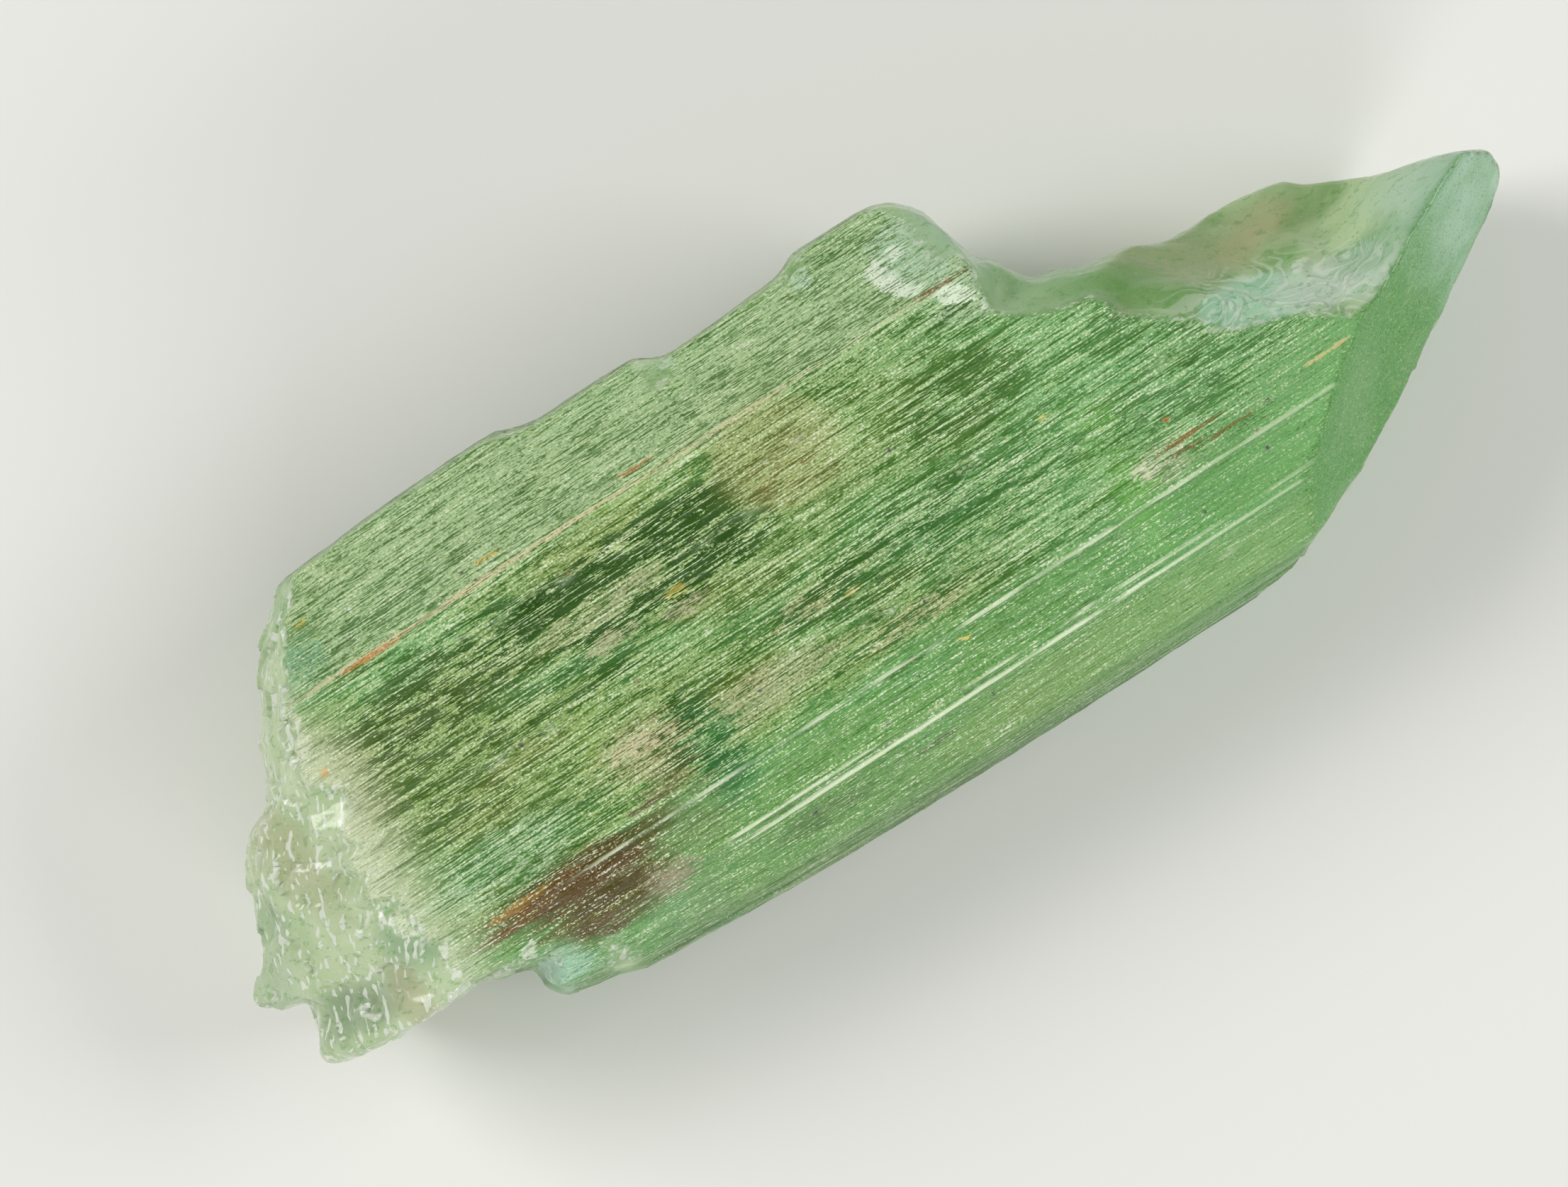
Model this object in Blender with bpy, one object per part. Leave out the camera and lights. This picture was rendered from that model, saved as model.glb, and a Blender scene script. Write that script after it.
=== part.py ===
"""A hiddenite (green spodumene) crystal, lying on its back prism face.

Frame: metres, +Z up, +X along the crystal's long c axis towards the chisel termination. The origin is under the
middle of the bounding box, on the plane that the crystal rests on.

The crystal is one solid: a striated prism whose sides step in and out along its length, broken off in splinters at
the base, with two termination faces, a deep shelly break beside the tip, and etch pits.

Run it with: blender --background --python part.py
"""

import math
import random

import bmesh
import bpy
from mathutils import Matrix, Vector, noise

MM = 0.001

# Driving dimensions
LENGTH = 26.0 * MM  # base spike to tip, along the c axis
WIDTH = 9.62 * MM  # across the broad face
THICKNESS = 5.8 * MM  # resting face to broad face

SEED = 7

# Prism section in mm, from the upper edge of the broad face round over the lower side and the resting face:
# (y, z) of each corner, and the depth of the striations on the face that starts there.
HALF = WIDTH / MM / 2
TOP = THICKNESS / MM
SECTION = [
    ((2.63, TOP), 0.06),  # broad face
    ((-2.18, TOP), 0.08),  # faces stepping down beside it
    ((-3.43, TOP - 0.42), 0.09),
    ((-4.42, TOP - 1.42), 0.07),
    ((-HALF, TOP - 2.50), 0.06),
    ((-4.62, 1.60), 0.08),
    ((-3.20, 0.0), 0.06),  # resting face
    ((3.30, 0.0), 0.08),
    ((4.50, 1.30), 0.07),
    ((HALF, 2.60), 0.06),
    ((4.66, TOP - 1.05), 0.06),  # bevel back up to the broad face
]
LAND_MM = (0.26, 0.85)  # flat strip between two striations, narrowest and widest
GROOVE_MM = 0.15  # a striation's width
FADE_MIDDLE = 0.55  # how deep striations run on average, as a share of the depth above
FADE_SWING = 0.9  # how much that share comes and goes along the crystal
FADE_RATE = 0.21  # how often, per mm

# How far the two sides reach from the midline, in mm: (distance from the base spike, reach).
UPPER_REACH = [
    (-0.6, 4.47), (4.5, 4.63), (6.0, 4.72), (8.0, HALF), (8.9, 4.79), (9.5, 4.57), (11.6, 4.56), (12.1, 4.27),
    (13.1, 4.29), (14.5, 4.36), (14.9, 4.56), (16.4, 4.54), (17.0, 4.35), (19.3, 4.1), (26.6, 4.1),
]
LOWER_REACH = [
    (-0.6, 4.05), (4.5, 4.09), (5.6, 4.27), (6.1, 4.46), (8.9, 4.66), (11.6, 4.75), (13.1, 4.79), (16.4, HALF),
    (26.6, HALF),
]

# Outline of the broken ends seen from above, in mm from the base spike and from the midline.
UPPER_BASE = [
    (0.00, -1.27), (0.25, -1.01), (0.55, -0.84), (0.76, -0.50), (1.04, 0.20), (1.17, 0.63), (1.37, 0.98),
    (1.62, 1.27), (2.15, 1.48), (2.36, 1.80), (2.60, 2.47), (2.82, 2.65), (3.22, 3.43), (3.68, 4.00), (4.24, 4.47),
]
BROKEN_SHOULDER = [
    (16.79, 4.38), (17.19, 4.00), (17.33, 3.46), (17.53, 2.69), (17.75, 2.65), (17.87, 2.35), (18.11, 1.93),
    (18.60, 1.85), (19.03, 1.59), (19.83, 1.53), (20.23, 1.26), (20.56, 1.18), (21.73, 1.16), (22.74, 0.98),
    (22.96, 0.73), (23.63, 0.41), (24.12, 0.17), (24.92, -0.02), (25.60, -0.29),
]
TIP = [(25.93, -0.50), (26.00, -0.69), (25.95, -0.94), (25.80, -1.16)]
# The worn edge between the two termination faces, from the tip down to the lower side.
WORN_EDGE = [
    (25.19, -1.54), (24.15, -2.20), (23.07, -2.85), (22.20, -3.38), (21.24, -3.88), (20.55, -4.15), (19.93, -4.39),
    (19.50, -4.62), (19.16, -4.80),
]
LOWER_BASE = [
    (4.95, -4.70), (4.59, -4.01), (4.44, -3.76), (4.43, -3.35), (3.99, -3.27), (3.50, -3.08),
    (3.31, -3.04), (2.30, -3.09), (1.23, -3.05), (0.80, -2.93), (0.54, -2.73), (0.68, -2.44), (0.86, -2.01),
    (0.87, -1.69), (0.49, -1.58), (0.07, -1.37),
]
SIDE_CLEAR = 1.0  # between the broken ends the trimming block stands this far outside the prism's sides, in mm
UPPER_CLEAR = [(4.9, HALF + SIDE_CLEAR), (16.3, HALF + SIDE_CLEAR)]
LOWER_CLEAR = [(18.9, -HALF - SIDE_CLEAR), (5.5, -HALF - SIDE_CLEAR)]
OUTLINE = UPPER_BASE + UPPER_CLEAR + BROKEN_SHOULDER + TIP + WORN_EDGE + LOWER_CLEAR + LOWER_BASE
BASE_END = 6.5  # outline points nearer the base spike than this belong to the base, in mm
# The broken ends stand back above and below their widest level: share of the thickness, and mm back from the outline.
WALL_LEVELS = [
    (-0.1, 1.15), (0.0, 0.95), (0.06, 0.80), (0.13, 0.60), (0.21, 0.40), (0.30, 0.21), (0.38, 0.08), (0.45, 0.0),
    (0.53, 0.0), (0.62, 0.04), (0.71, 0.09), (0.80, 0.15), (0.90, 0.24), (1.1, 0.4),
]
WALL_ROUGH = 0.5  # unevenness as a share of how far the wall stands back
WIDEST = (0.45, 0.53)  # shares of the thickness between which the broken ends keep to their outline
SPLINTER_RISE = 0.14  # share of the thickness over which splinters grow to their full depth outside that
SPLINTER_WALL_MM = 0.42  # how far single splinters of the base wall break off short
SPLINTER_CELL = (0.75, 0.95)  # a splinter's size in mm, across the crystal and up
SPLINTER_LEAN = (0.35, 0.8, 0.7)  # how far splinters lean, and how often that changes across and up, per mm
TIP_BACK = (0.45, 0.75)  # share of the standing back taken along the crystal and across it, beside the tip
TIP_TAPER_MM = (6.0, 26.6)  # the share taken across runs out over this length, up to this far from the base spike
BASE_PINCH = 0.09  # how much the base narrows for each mm that its wall stands back

# Termination: each face by a point on it in mm, the way it faces seen from above, and its slope.
UPPER_FACE_AT = (22.10, -1.87, TOP)
UPPER_FACE_WAY = (0.568, -0.823)
UPPER_FACE_SLOPE = math.radians(62)
LOWER_FACE_AT = (22.52, -2.95, 2.95)
LOWER_FACE_WAY = (0.353, -0.936)
LOWER_FACE_SLOPE = math.radians(50.5)

# The break beside the tip, in mm: its rim on the broad face, how far it falls to the ledge and how far that takes.
RIM = [
    (16.90, 5.60), (17.40, 2.75), (17.10, 1.75), (17.92, 1.25), (18.66, 1.00), (19.15, 0.51), (20.13, -0.23),
    (20.87, -1.03), (21.73, -1.27), (22.28, -1.80), (23.20, -1.66), (24.43, -1.25), (27.50, -0.90),
]
LEDGE_FALL_MM = 2.5
LEDGE_REACH_MM = 1.9
LEDGE_RIPPLE = (0.13, 5.5, 0.9)  # shelly ripples on its wall: height in mm, radians per mm inwards and along
LEDGE_ROLL = (0.34, 0.7, 0.9)  # the ledge's rolling: height in mm, how often along and across, per mm
# The break at the base, in mm: where it meets the broad face, and how steeply it falls away from there.
BASE_RIM_MM = 3.35
BASE_FALL = 0.46
BASE_CURVE = 0.13
BASE_STRIP_MM = 0.62  # width of the strips it breaks off in
STRIP_SHIFT_MM = 0.9  # how far the strips' ends lie apart
STRIP_STEP_MM = 0.48  # how far their levels lie apart
STRIP_WANDER = (0.8, 0.4, 0.5)  # strips' edges: swing in strip widths, how often along and across, per mm
BASE_ROLL = (0.26, 0.9, 1.3)
RIM_BITE_MM = 0.1  # how sharply a break starts below the broad face
CUTTER_LIFT = (0.5, 0.35)  # outside its rim a break's cutter rises clear: mm at once, and mm for each mm further
CUTTER_TOP = THICKNESS * 1.6
CUTTER_JITTER = 0.3  # share of a cell that a facet's corner is out of line
TIP_BREAK_AREA = ((16.6, -2.4), (27.0, 6.0))  # corners of the breaks' cutters, in mm
BASE_BREAK_AREA = ((-0.8, -5.4), (4.6, 5.4))
TIP_BREAK_CELL = (0.36, 0.30)  # facets of the broken faces in mm, along the crystal and across it
BASE_BREAK_CELL = (0.42, 0.20)

PITS = 60  # etch pits over all the prism faces
PIT_LONG_MM = (0.6, 2.0)
PIT_WIDE_MM = (0.14, 0.30)
PIT_FROM_TO_MM = (4.6, 20.5)  # from the base spike
PIT_GAP_MM = (0.2, 0.6)  # clear distance between pits, along the crystal and round it
PIT_EDGE_CLEAR = 0.12  # share of a face's width that stays free of pits at each edge


def from_base(x_mm):
    """X in the part's frame of a place given in mm from the base spike."""
    return x_mm * MM - LENGTH / 2


def collection(name, render=True):
    made = bpy.data.collections.new(name)
    made.hide_render = not render
    bpy.context.scene.collection.children.link(made)
    return made


def mesh_object(name, bm, where, cutter=False):
    """Closes off a bmesh as an object with its faces pointing out. A cutter is hidden from renders."""
    bmesh.ops.triangulate(bm, faces=bm.faces)
    bmesh.ops.recalc_face_normals(bm, faces=bm.faces)
    mesh = bpy.data.meshes.new(name)
    bm.to_mesh(mesh)
    bm.free()
    obj = bpy.data.objects.new(name, mesh)
    where.objects.link(obj)
    if cutter:
        obj.hide_render = True
        obj.display_type = "WIRE"
    return obj


def loft(bm, rings, fanned=False):
    """Closes a stack of rings with the same number of points into a solid, with fans from a middle point if asked."""
    count = len(rings[0])
    for ring, following in zip(rings, rings[1:]):
        for i in range(count):
            j = (i + 1) % count
            bm.faces.new((ring[i], ring[j], following[j], following[i]))
    for ring in (rings[0], rings[-1]):
        if not fanned:
            bm.faces.new(ring)
            continue
        middle = bm.verts.new(sum((vert.co for vert in ring), Vector()) / count)
        for i in range(count):
            bm.faces.new((ring[i], ring[(i + 1) % count], middle))


def reach_at(line, x_mm):
    """The reach that a line of (distance, reach) gives partway between its points."""
    for (x1, reach1), (x2, reach2) in zip(line, line[1:]):
        if x1 <= x_mm <= x2:
            return reach1 + (reach2 - reach1) * (x_mm - x1) / (x2 - x1)
    return line[-1][1]


def outward(start, end):
    """The way a face of the section points, seen along the crystal."""
    along = (end - start).normalized()
    return Vector((along.y, -along.x))


def striated_face(start, end, depth, rng):
    """Points along one prism face from corner to corner: (point in mm, the way it faces, groove depth or 0)."""
    facing = outward(start, end)
    length = (end - start).length
    points = [(start, facing, 0.0)]
    at = rng.uniform(*LAND_MM) / 2
    while at + GROOVE_MM < length - LAND_MM[0] / 2:
        for step, sunk in ((0.0, 0.0), (0.5, depth), (1.0, 0.0)):
            points.append((start.lerp(end, (at + step * GROOVE_MM) / length), facing, sunk))
        at += GROOVE_MM + rng.uniform(*LAND_MM)
    return points


def section_points():
    rng = random.Random(SEED)
    points = []
    for i, (corner, depth) in enumerate(SECTION):
        following = SECTION[(i + 1) % len(SECTION)][0]
        points += striated_face(Vector(corner), Vector(following), depth, rng)
    return points


def striated_prism(where):
    """A loft along the c axis. The sides follow their reach; the grooves deepen, fade and come back."""
    points = section_points()
    inner = {1: SECTION[0][0][0], -1: -SECTION[1][0][0]}
    bm = bmesh.new()
    rings = []
    for x_mm in sorted({x for x, _ in UPPER_REACH + LOWER_REACH}):
        ring = []
        for i, (point, facing, depth) in enumerate(points):
            fade = FADE_MIDDLE + FADE_SWING * noise.noise(Vector((x_mm * FADE_RATE, i * 1.7, 3.1)))
            y, z = point - facing * depth * min(max(fade, 0.0), 1.0)
            side = 1 if y > 0 else -1
            reach = reach_at(UPPER_REACH if side > 0 else LOWER_REACH, x_mm)
            if abs(y) > inner[side]:
                y = side * (inner[side] + (abs(y) - inner[side]) * (reach - inner[side]) / (HALF - inner[side]))
            ring.append(bm.verts.new((from_base(x_mm), y * MM, z * MM)))
        rings.append(ring)
    loft(bm, rings, fanned=True)
    return mesh_object("hiddenite_crystal", bm, where)


def splinter(y, level):
    """How far in mm the base wall's splinter at this place breaks off short of its neighbours."""
    away = min(max(WIDEST[0] - level, level - WIDEST[1], 0.0) / SPLINTER_RISE, 1.0)
    height = level * TOP
    swing, across, up = SPLINTER_LEAN
    lean = swing * noise.noise(Vector((y * across, height * up, 5.0)))
    cell = noise.cell(Vector((y / SPLINTER_CELL[0] + lean, height / SPLINTER_CELL[1] + lean, 2.0)))
    return SPLINTER_WALL_MM * away * abs(cell)


def wall_point(x, y, level, back):
    """A point of the trimming block's wall: broken walls stand back from the outline and are rough."""
    back += back * WALL_ROUGH * noise.noise(Vector((x * 0.9, y * 1.2, level * 6.0)))
    if x < BASE_END:
        return x + back + splinter(y, level), y * (1 - BASE_PINCH * back)
    narrowing = min(1.0, (TIP_TAPER_MM[1] - x) / TIP_TAPER_MM[0])
    return x - back * TIP_BACK[0], y - back * TIP_BACK[1] * narrowing * (y > TIP[-1][1])


def outline_block(where):
    """The crystal's outline as a block whose broken walls are widest partway up."""
    bm = bmesh.new()
    rings = []
    for level, back in WALL_LEVELS:
        ring = []
        for x, y in OUTLINE:
            x, y = wall_point(x, y, level, back)
            ring.append(bm.verts.new((from_base(x), y * MM, level * THICKNESS)))
        rings.append(ring)
    loft(bm, rings)
    return mesh_object("outline_block", bm, where, cutter=True)


def face_cutter(name, at, way, slope, upward, where):
    """A cube whose one side is a termination face: everything beyond it goes."""
    lift = math.cos(slope) if upward else -math.cos(slope)
    normal = Vector((way[0] * math.sin(slope), way[1] * math.sin(slope), lift)).normalized()
    point = Vector((from_base(at[0]), at[1] * MM, at[2] * MM))
    bm = bmesh.new()
    bmesh.ops.create_cube(bm, size=LENGTH)
    turn = normal.to_track_quat("Z", "Y").to_matrix().to_4x4()
    bmesh.ops.transform(bm, matrix=Matrix.Translation(point + normal * LENGTH / 2) @ turn, verts=bm.verts)
    return mesh_object(name, bm, where, cutter=True)


def side_of_line(point, line):
    """Distance in mm from a line of points, positive on its left as the line runs."""
    best, sign = math.inf, 1.0
    for a, b in zip(line, line[1:]):
        a, b = Vector(a), Vector(b)
        run = b - a
        t = min(max((point - a).dot(run) / run.length_squared, 0.0), 1.0)
        off = point - (a + run * t)
        if off.length < best:
            best = off.length
            sign = 1.0 if run.cross(point - a) >= 0 else -1.0
    return sign * best


def roughness(x, y, seed):
    return noise.fractal(Vector((x, y, seed)), 1.0, 2.0, 3)


def ledge_height(x, y):
    """Height in mm of the shelly break beside the tip: a steep curved wall, ripples, then a rolling ledge."""
    inside = side_of_line(Vector((x, y)), RIM)
    if inside <= 0:
        return TOP + CUTTER_LIFT[0] - inside * CUTTER_LIFT[1]
    share = min(inside / LEDGE_REACH_MM, 1.0)
    fall = (share * share * (3 - 2 * share) + share) / 2
    ripple = LEDGE_RIPPLE[0] * math.sin(inside * LEDGE_RIPPLE[1] + x * LEDGE_RIPPLE[2]) * (1 - share)
    roll = LEDGE_ROLL[0] * roughness(x * LEDGE_ROLL[1], y * LEDGE_ROLL[2], 1.0)
    return TOP - RIM_BITE_MM - LEDGE_FALL_MM * fall + ripple + roll


def base_height(x, y):
    """Height in mm of the splintery break at the base: strips along the crystal, each broken off on its own level."""
    swing, along, across = STRIP_WANDER
    strip = math.floor(y / BASE_STRIP_MM + swing * noise.noise(Vector((x * along, y * across, 4.0))))
    level = noise.noise(Vector((0.0, strip * 1.37, 9.0)))
    out = BASE_RIM_MM - x + STRIP_SHIFT_MM * level
    if out <= 0:
        return TOP + CUTTER_LIFT[0] - out * CUTTER_LIFT[1]
    fall = BASE_FALL * out + BASE_CURVE * out * out
    roll = BASE_ROLL[0] * roughness(x * BASE_ROLL[1], y * BASE_ROLL[2], 2.0)
    return TOP - RIM_BITE_MM - fall + STRIP_STEP_MM * level + roll


def break_cutter(name, area, cell, height, where):
    """A block over an area, whose underside is the broken surface that height gives."""
    low, high = area
    bm = bmesh.new()
    across = [max(2, round((high[k] - low[k]) / cell[k])) for k in (0, 1)]
    bmesh.ops.create_grid(bm, x_segments=across[0], y_segments=across[1], size=0.5)
    rng = random.Random(SEED + len(name))
    for vert in bm.verts:
        x = low[0] + (vert.co.x + 0.5) * (high[0] - low[0])
        y = low[1] + (vert.co.y + 0.5) * (high[1] - low[1])
        if abs(vert.co.x) < 0.499 and abs(vert.co.y) < 0.499:
            x += rng.uniform(-CUTTER_JITTER, CUTTER_JITTER) * cell[0]
            y += rng.uniform(-CUTTER_JITTER, CUTTER_JITTER) * cell[1]
        vert.co = (from_base(x), y * MM, height(x, y) * MM)
    raised = bmesh.ops.extrude_face_region(bm, geom=bm.faces[:])
    for item in raised["geom"]:
        if isinstance(item, bmesh.types.BMVert):
            item.co.z = CUTTER_TOP
    return mesh_object(name, bm, where, cutter=True)


def surface_spot(rng):
    """A random place on the prism's section: its point in mm and the way it faces."""
    faces = [(Vector(SECTION[i][0]), Vector(SECTION[(i + 1) % len(SECTION)][0])) for i in range(len(SECTION))]
    a, b = rng.choices(faces, weights=[(b - a).length for a, b in faces])[0]
    return a.lerp(b, rng.uniform(PIT_EDGE_CLEAR, 1 - PIT_EDGE_CLEAR)), outward(a, b)


def spindle(bm, x_mm, point, facing, size):
    """A six-sided spindle along the c axis, centred on a place of the section. size is (long, wide, deep) in mm."""
    made = bmesh.ops.create_uvsphere(bm, u_segments=6, v_segments=4, radius=0.5)["verts"]
    up = Vector((0, facing.x, facing.y))
    along = Vector((1, 0, 0))
    turn = Matrix((along.cross(up), up, along)).transposed().to_4x4()
    grow = Matrix.Diagonal((size[1] * MM, size[2] * MM, size[0] * MM, 1))
    place = Matrix.Translation((from_base(x_mm), point.x * MM, point.y * MM))
    bmesh.ops.transform(bm, matrix=place @ turn @ grow, verts=made)


def etch_pits(where):
    """Long narrow pits along the c axis, kept clear of each other."""
    rng = random.Random(SEED + 1)
    bm = bmesh.new()
    taken = []
    while len(taken) < PITS:
        point, facing = surface_spot(rng)
        length = rng.uniform(*PIT_LONG_MM)
        x = rng.uniform(*PIT_FROM_TO_MM)
        along, around = PIT_GAP_MM
        if any(abs(x - tx) < (length + tl) / 2 + along and (point - tp).length < around for tx, tp, tl in taken):
            continue
        taken.append((x, point, length))
        spindle(bm, x, point, facing, (length, rng.uniform(*PIT_WIDE_MM), rng.uniform(*PIT_WIDE_MM)))
    return mesh_object("etch_pits", bm, where, cutter=True)


def boolean(obj, operation, other):
    modifier = obj.modifiers.new(f"{operation.lower()} {other.name}", "BOOLEAN")
    modifier.operation = operation
    modifier.solver = "EXACT"
    modifier.object = other


def hiddenite():
    """Pale green, glassy where it isn't etched."""
    material = bpy.data.materials.new("hiddenite")
    material.use_nodes = True
    shader = material.node_tree.nodes["Principled BSDF"]
    shader.inputs["Base Color"].default_value = (0.23, 0.42, 0.16, 1.0)
    shader.inputs["Roughness"].default_value = 0.28
    shader.inputs["IOR"].default_value = 1.66
    shader.inputs["Transmission Weight"].default_value = 0.6
    return material


def main():
    for obj in list(bpy.data.objects):
        bpy.data.objects.remove(obj)
    parts = collection("hiddenite crystal")
    cutters = collection("cutters", render=False)
    crystal = striated_prism(parts)
    boolean(crystal, "INTERSECT", outline_block(cutters))
    for cutter in (
        face_cutter("upper_face", UPPER_FACE_AT, UPPER_FACE_WAY, UPPER_FACE_SLOPE, True, cutters),
        face_cutter("lower_face", LOWER_FACE_AT, LOWER_FACE_WAY, LOWER_FACE_SLOPE, False, cutters),
        break_cutter("tip_break", TIP_BREAK_AREA, TIP_BREAK_CELL, ledge_height, cutters),
        break_cutter("base_break", BASE_BREAK_AREA, BASE_BREAK_CELL, base_height, cutters),
        etch_pits(cutters),
    ):
        boolean(crystal, "DIFFERENCE", cutter)
    crystal.data.materials.append(hiddenite())


main()
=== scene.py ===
import math

import bmesh
import bpy
import numpy as np
from mathutils import Matrix, Vector
from mathutils.bvhtree import BVHTree


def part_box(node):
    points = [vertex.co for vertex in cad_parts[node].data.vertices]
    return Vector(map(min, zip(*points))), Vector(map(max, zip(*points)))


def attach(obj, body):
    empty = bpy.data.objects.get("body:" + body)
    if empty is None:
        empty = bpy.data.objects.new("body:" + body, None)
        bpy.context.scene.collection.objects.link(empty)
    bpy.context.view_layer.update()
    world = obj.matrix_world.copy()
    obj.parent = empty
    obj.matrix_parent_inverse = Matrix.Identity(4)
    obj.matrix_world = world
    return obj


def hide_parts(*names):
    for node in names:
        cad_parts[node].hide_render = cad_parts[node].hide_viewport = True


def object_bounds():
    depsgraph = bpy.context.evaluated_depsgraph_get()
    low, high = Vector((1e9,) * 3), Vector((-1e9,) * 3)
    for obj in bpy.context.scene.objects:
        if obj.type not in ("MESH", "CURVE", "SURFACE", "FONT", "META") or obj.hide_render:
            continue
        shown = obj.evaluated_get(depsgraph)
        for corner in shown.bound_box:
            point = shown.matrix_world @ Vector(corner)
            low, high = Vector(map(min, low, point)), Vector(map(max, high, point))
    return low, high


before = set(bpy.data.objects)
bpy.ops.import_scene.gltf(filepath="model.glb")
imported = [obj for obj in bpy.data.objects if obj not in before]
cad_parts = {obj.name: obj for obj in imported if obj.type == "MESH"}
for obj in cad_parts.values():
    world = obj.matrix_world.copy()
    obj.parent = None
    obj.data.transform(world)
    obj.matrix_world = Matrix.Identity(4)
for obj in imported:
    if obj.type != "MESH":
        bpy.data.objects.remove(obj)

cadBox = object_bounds()
print("stage 1: frame loaded")

mm = 0.001


# wraps a socket, so that arithmetic on it adds Math nodes
class Wire:
    def __init__(self, tree, socket):
        self.tree = tree
        self.socket = socket

    def maths(self, operation, *others):
        node = self.tree.nodes.new("ShaderNodeMath")
        node.operation = operation
        for place, value in enumerate((self,) + others):
            plug(self.tree, node.inputs[place], value)
        return Wire(self.tree, node.outputs[0])

    def __add__(self, other):
        return self.maths("ADD", other)

    def __sub__(self, other):
        return self.maths("SUBTRACT", other)

    def __mul__(self, other):
        return self.maths("MULTIPLY", other)

    def __neg__(self):
        return self.maths("MULTIPLY", -1.0)

    def __rsub__(self, other):
        return (-self) + other

    __radd__ = __add__
    __rmul__ = __mul__

    def most(self, other):
        return self.maths("MAXIMUM", other)

    def size(self):
        return self.maths("ABSOLUTE")

    def rise(self, low, high):
        # 0 at low, 1 at high, smooth between; low may be above high
        node = self.tree.nodes.new("ShaderNodeMapRange")
        node.interpolation_type = "SMOOTHSTEP"
        ends = (high, low, 1.0, 0.0) if low > high else (low, high, 0.0, 1.0)
        plug(self.tree, node.inputs[0], self)
        for place, value in enumerate(ends):
            plug(self.tree, node.inputs[place + 1], value)
        return Wire(self.tree, node.outputs[0])


def plug(tree, socket, value):
    if isinstance(value, Wire):
        tree.links.new(value.socket, socket)
    elif value is not None:
        socket.default_value = value


# adds nodes to one tree: type, then settings, then sockets
class Weave:
    def __init__(self, tree):
        self.tree = tree

    def add(self, kind, settings=None, sockets=None, out=0):
        node = self.tree.nodes.new(kind)
        for name, value in (settings or {}).items():
            setattr(node, name, value)
        for name, value in (sockets or {}).items():
            plug(self.tree, node.inputs[name], value)
        return Wire(self.tree, node.outputs[out])

    def mix(self, factor, first, second):
        return self.add("ShaderNodeMix", {"data_type": "RGBA"}, {0: factor, 6: first, 7: second}, 2)

    def split(self, vector):
        node = self.tree.nodes.new("ShaderNodeSeparateXYZ")
        plug(self.tree, node.inputs[0], vector)
        return [Wire(self.tree, o) for o in node.outputs]

    def join(self, x, y, z):
        return self.add("ShaderNodeCombineXYZ", None, {0: x, 1: y, 2: z})

    def scaled(self, vector, by):
        return self.add("ShaderNodeVectorMath", {"operation": "MULTIPLY"}, {0: vector, 1: by})

    def shifted(self, vector, by):
        return self.add("ShaderNodeVectorMath", {"operation": "ADD"}, {0: vector, 1: by})

    def dot(self, vector, by):
        return self.add("ShaderNodeVectorMath", {"operation": "DOT_PRODUCT"}, {0: vector, 1: by}, 1)

    def noise(self, place, often, start, detail=2.0, rough=0.55, bend=0.0):
        # often: how many swells per mm along, across and up; start: where in the noise it begins
        vector = self.shifted(self.scaled(place, often), start)
        return self.add(
            "ShaderNodeTexNoise", None,
            {"Vector": vector, "Scale": 1.0, "Detail": detail, "Roughness": rough, "Distortion": bend},
        )


# screen colour, 0 to 255, as a linear colour
def tint(red, green, blue):
    values = [c / 255 for c in (red, green, blue)]
    return tuple(c / 12.92 if c <= 0.04045 else ((c + 0.055) / 1.055) ** 2.4 for c in values) + (1.0,)


# node group behind a patch: 1 where Place lies well inside an ellipse, 0 outside it
def patchGroup():
    tree = bpy.data.node_groups.get("patch")
    if tree:
        return tree
    tree = bpy.data.node_groups.new("patch", "GeometryNodeTree")
    weave = Weave(tree)
    for name in ("Place", "East", "North"):
        tree.interface.new_socket(name=name, in_out="INPUT", socket_type="NodeSocketVector")
    for name in ("East from", "North from", "Edge", "Middle"):
        tree.interface.new_socket(name=name, in_out="INPUT", socket_type="NodeSocketFloat")
    tree.interface.new_socket(name="Amount", in_out="OUTPUT", socket_type="NodeSocketFloat")
    given = {o.name: Wire(tree, o) for o in tree.nodes.new("NodeGroupInput").outputs if o.name}
    along = weave.dot(given["Place"], given["East"]) - given["East from"]
    across = weave.dot(given["Place"], given["North"]) - given["North from"]
    spread = along * along + across * across
    node = tree.nodes.new("ShaderNodeMapRange")
    node.interpolation_type = "SMOOTHSTEP"
    for place, value in enumerate((spread, given["Middle"], given["Edge"], 1.0, 0.0)):
        plug(tree, node.inputs[place], value)
    tree.links.new(node.outputs[0], tree.nodes.new("NodeGroupOutput").inputs[0])
    return tree


# the two ways across an ellipse seen from above, as (x, y, offset) that give -1 to 1 inside it
def ellipseAxes(x, y, long, wide, turn):
    turn = math.radians(turn)
    east = (math.cos(turn) / long, math.sin(turn) / long)
    north = (-math.sin(turn) / wide, math.cos(turn) / wide)
    return east + (x * east[0] + y * east[1],), north + (x * north[0] + y * north[1],)


# soft-edged patch seen from above: x, y, half length, half width (mm), turn, softness
def patch(weave, place, spot):
    east, north = ellipseAxes(*spot[:5])
    soft = spot[5]
    return weave.add("GeometryNodeGroup", {"node_tree": patchGroup()}, {
        "Place": place, "East": east[:2] + (0.0,), "North": north[:2] + (0.0,), "East from": east[2],
        "North from": north[2], "Edge": (1.0 + soft) ** 2, "Middle": max(1.0 - soft, 0.0) ** 2,
    })


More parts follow.
